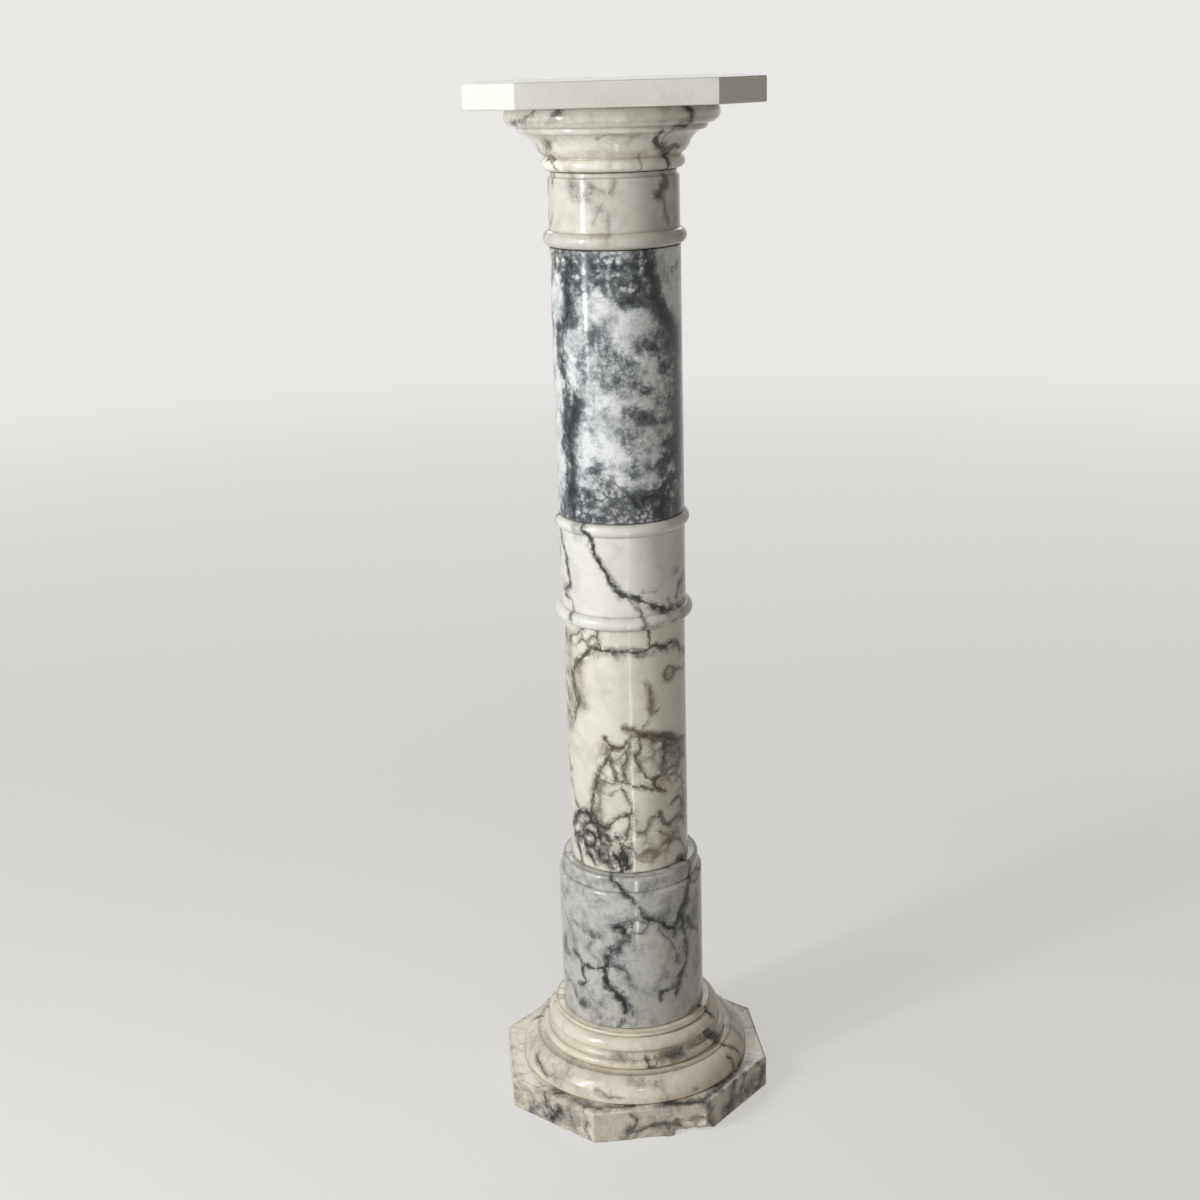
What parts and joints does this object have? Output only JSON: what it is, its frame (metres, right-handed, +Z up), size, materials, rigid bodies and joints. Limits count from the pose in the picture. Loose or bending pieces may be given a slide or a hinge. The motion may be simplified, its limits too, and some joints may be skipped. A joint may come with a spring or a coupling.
{
  "type": "pedestal column stand",
  "caption": "Turned marble pedestal column on an eight-sided plinth, with moulded base, collars and capital and a clipped square top that turns on a central pivot.",
  "frame": {"origin": "centre of the plinth's underside, on the axis of the column", "axes": "+Z up along the column's axis; two opposite flats of the eight-sided plinth, 272 mm apart, face +X and -X, and two, 256 mm apart, face +Y and -Y"},
  "size_m": [0.2784, 0.2784, 1.0446],
  "materials": {
    "white_marble": "polished, near white with a few thin dark veins",
    "cream_marble": "polished, cream with dark patches",
    "grey_marble": "polished, pale grey with cracks",
    "dark_veined_marble": "polished, blue-grey with black cloudy veins",
    "brown_veined_marble": "polished, cream with brown-black net veins",
    "blue_veined_marble": "polished, grey-white with blue-black veins",
    "plinth_marble": "worn polish, grey-beige with dark streaks",
    "setting_plaster": "matt, darkened with dirt",
    "black_iron": "dull black with light rust",
    "brass": "rubbed"
  },
  "bodies": {
    "column": {"plinth": "plinth_marble", "base_torus": "cream_marble", "base_collar": "cream_marble", "socle_drum": "blue_veined_marble", "lower_shaft": "brown_veined_marble", "middle_collar": "white_marble", "upper_shaft": "dark_veined_marble", "neck_drum": "grey_marble", "capital": "cream_marble", "bed_plinth_base_torus": "setting_plaster", "bed_base_torus_base_collar": "setting_plaster", "bed_base_collar_socle_drum": "setting_plaster", "bed_socle_drum_lower_shaft": "setting_plaster", "bed_lower_shaft_middle_collar": "setting_plaster", "bed_middle_collar_upper_shaft": "setting_plaster", "bed_upper_shaft_neck_drum": "setting_plaster", "bed_neck_drum_capital": "setting_plaster", "tie_rod": "black_iron", "lower_nut": "black_iron", "lower_washer": "black_iron", "upper_nut": "black_iron", "upper_washer": "black_iron", "slip_disc": "brass"},
    "top": {"top_plate": "white_marble", "pivot_bush": "black_iron", "bush_setting": "setting_plaster"}
  },
  "joints": [
    {"name": "top_turn", "type": "hinge", "parent": "column", "child": "top", "pos_m": [0, 0, 1.022], "axis": [0, 0, 1], "continuous": true}
  ]
}
